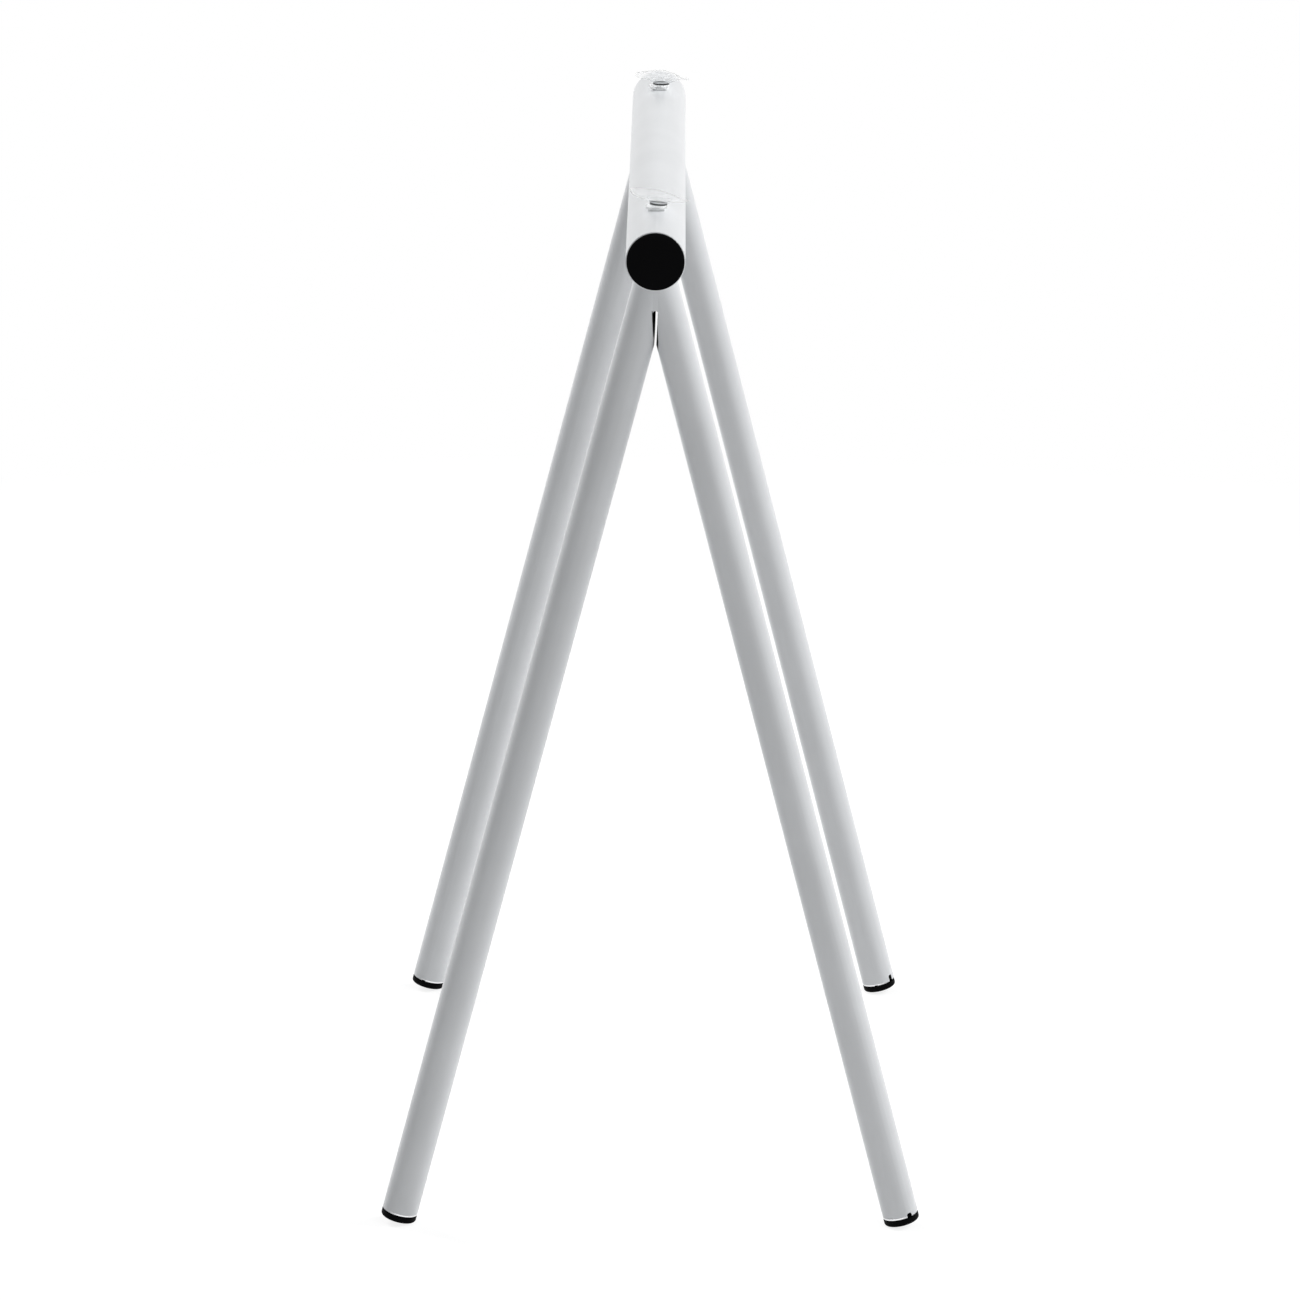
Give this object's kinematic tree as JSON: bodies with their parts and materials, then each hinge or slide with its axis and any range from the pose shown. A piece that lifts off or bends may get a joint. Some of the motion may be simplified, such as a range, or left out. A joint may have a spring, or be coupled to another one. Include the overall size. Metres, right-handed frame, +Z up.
{
  "type": "trestle table leg",
  "caption": "Welded steel tube trestle: a round crossbar on A-shaped leg pairs, with soft suction cups on top that hold a glass table top.",
  "frame": {"origin": "on the floor, under the middle of the crossbar", "axes": "+Z up, +Y along the crossbar from the front end to the rear end, +X across it to the right"},
  "size_m": [0.3772, 0.6064, 0.728],
  "materials": {
    "frame_coat": "satin light grey powder coat",
    "weld_coat": "satin light grey powder coat over ground weld",
    "cap_plastic": "matt black moulded plastic",
    "plug_plastic": "matt black moulded plastic",
    "cup_soft": "clear soft vinyl, slightly milky",
    "bush_plastic": "pale moulded plastic"
  },
  "bodies": {
    "root": {"crossbar_tube": "frame_coat", "leg_front_left": "frame_coat", "leg_front_right": "frame_coat", "leg_rear_left": "frame_coat", "leg_rear_right": "frame_coat", "front_leg_weld": "weld_coat", "rear_leg_weld": "weld_coat", "bar_cap_front": "cap_plastic", "bar_cap_rear": "cap_plastic", "foot_plug_front_left": "plug_plastic", "foot_plug_front_right": "plug_plastic", "foot_plug_rear_left": "plug_plastic", "foot_plug_rear_right": "plug_plastic", "suction_cup_front": "cup_soft", "suction_cup_rear": "cup_soft", "cup_bush_front": "bush_plastic", "cup_bush_rear": "bush_plastic"}
  },
  "joints": []
}
